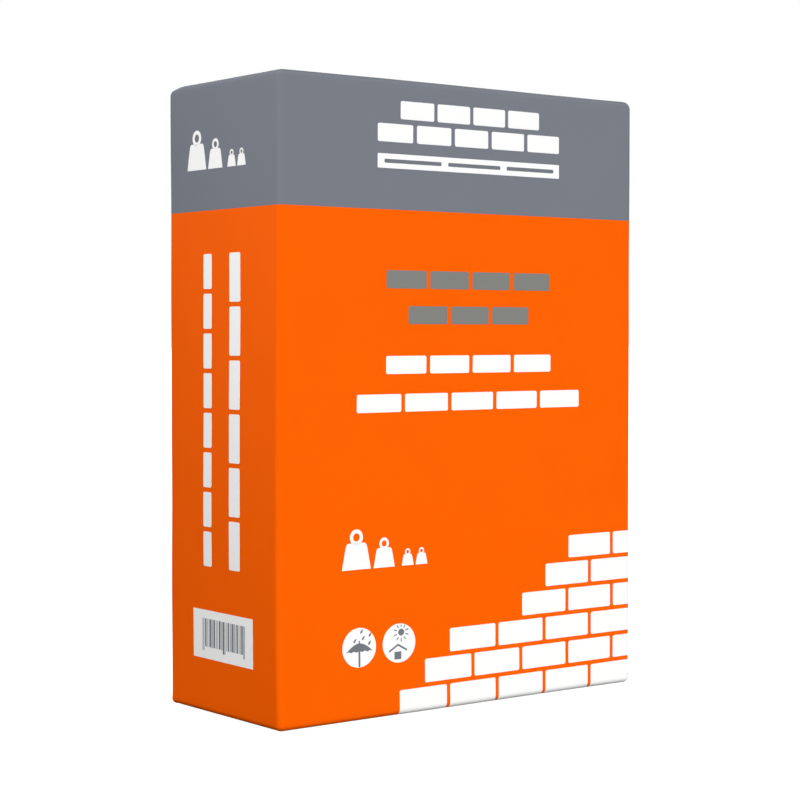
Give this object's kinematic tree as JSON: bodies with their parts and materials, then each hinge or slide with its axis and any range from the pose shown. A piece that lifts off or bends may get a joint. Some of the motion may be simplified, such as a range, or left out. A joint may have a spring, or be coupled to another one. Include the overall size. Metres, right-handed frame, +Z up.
{
  "type": "cement bag",
  "caption": "Filled paper valve sack for cement, standing upright, with block ends, glued end patches and a filling valve at the top.",
  "frame": {"origin": "middle of the footprint on the floor, at the underside of the bottom patch", "axes": "+Z up the standing bag, -Y towards its printed front, +X towards the side with the filling valve"},
  "size_m": [0.3216, 0.1396, 0.44],
  "materials": {
    "printed_paper": "satin, coated and printed",
    "patch_paper": "satin, coated and printed",
    "kraft_paper": "matt, natural brown",
    "cement_powder": "matt fine powder"
  },
  "bodies": {
    "root": {"sack": "printed_paper", "top_patch": "patch_paper", "bottom_patch": "printed_paper", "valve_sleeve": "kraft_paper", "cement_fill": "cement_powder"}
  },
  "joints": []
}
